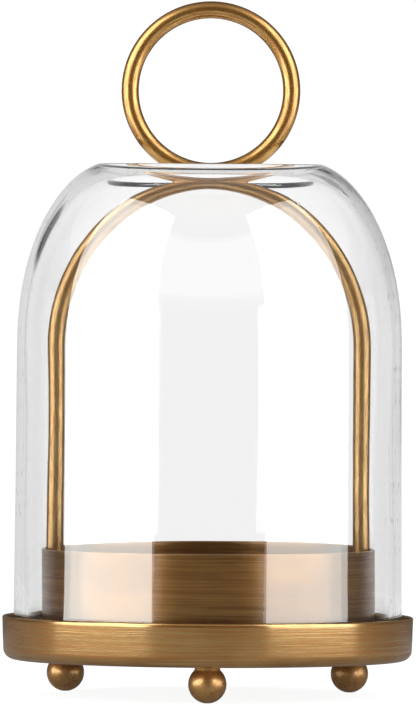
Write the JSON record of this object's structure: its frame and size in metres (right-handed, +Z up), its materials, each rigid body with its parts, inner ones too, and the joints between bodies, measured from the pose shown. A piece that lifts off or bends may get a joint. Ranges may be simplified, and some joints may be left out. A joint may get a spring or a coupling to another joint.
{
  "type": "glass cloche lantern",
  "caption": "Thick open-topped glass bell that lifts off over a ring handle, standing in a shallow antique brass tray on ball feet with a collar for a candle.",
  "frame": {"origin": "on the ground under the middle of the tray", "axes": "+Z up, along the bell's lift; -Y to the front, where one foot stands; +X along the plane of the arch and the ring handle"},
  "size_m": [0.152, 0.152, 0.2563],
  "materials": {
    "antique_brass_sheet": "antiqued, brushed along the hoop, worn bright on the edges",
    "antique_brass_rod": "antiqued, lightly polished",
    "antique_brass_ball": "antiqued satin",
    "clear_glass": "clear, polished, hand-blown"
  },
  "bodies": {
    "stand": {"base_tray": "antique_brass_sheet", "candle_collar": "antique_brass_sheet", "arch_frame": "antique_brass_rod", "handle_ring": "antique_brass_rod", "front_foot": "antique_brass_ball", "rear_left_foot": "antique_brass_ball", "rear_right_foot": "antique_brass_ball"},
    "bell": {"glass_bell": "clear_glass"}
  },
  "joints": [
    {"name": "bell_lift", "type": "slide", "parent": "stand", "child": "bell", "axis": [0, 0, 1], "range_m": [0, 0.25]}
  ]
}
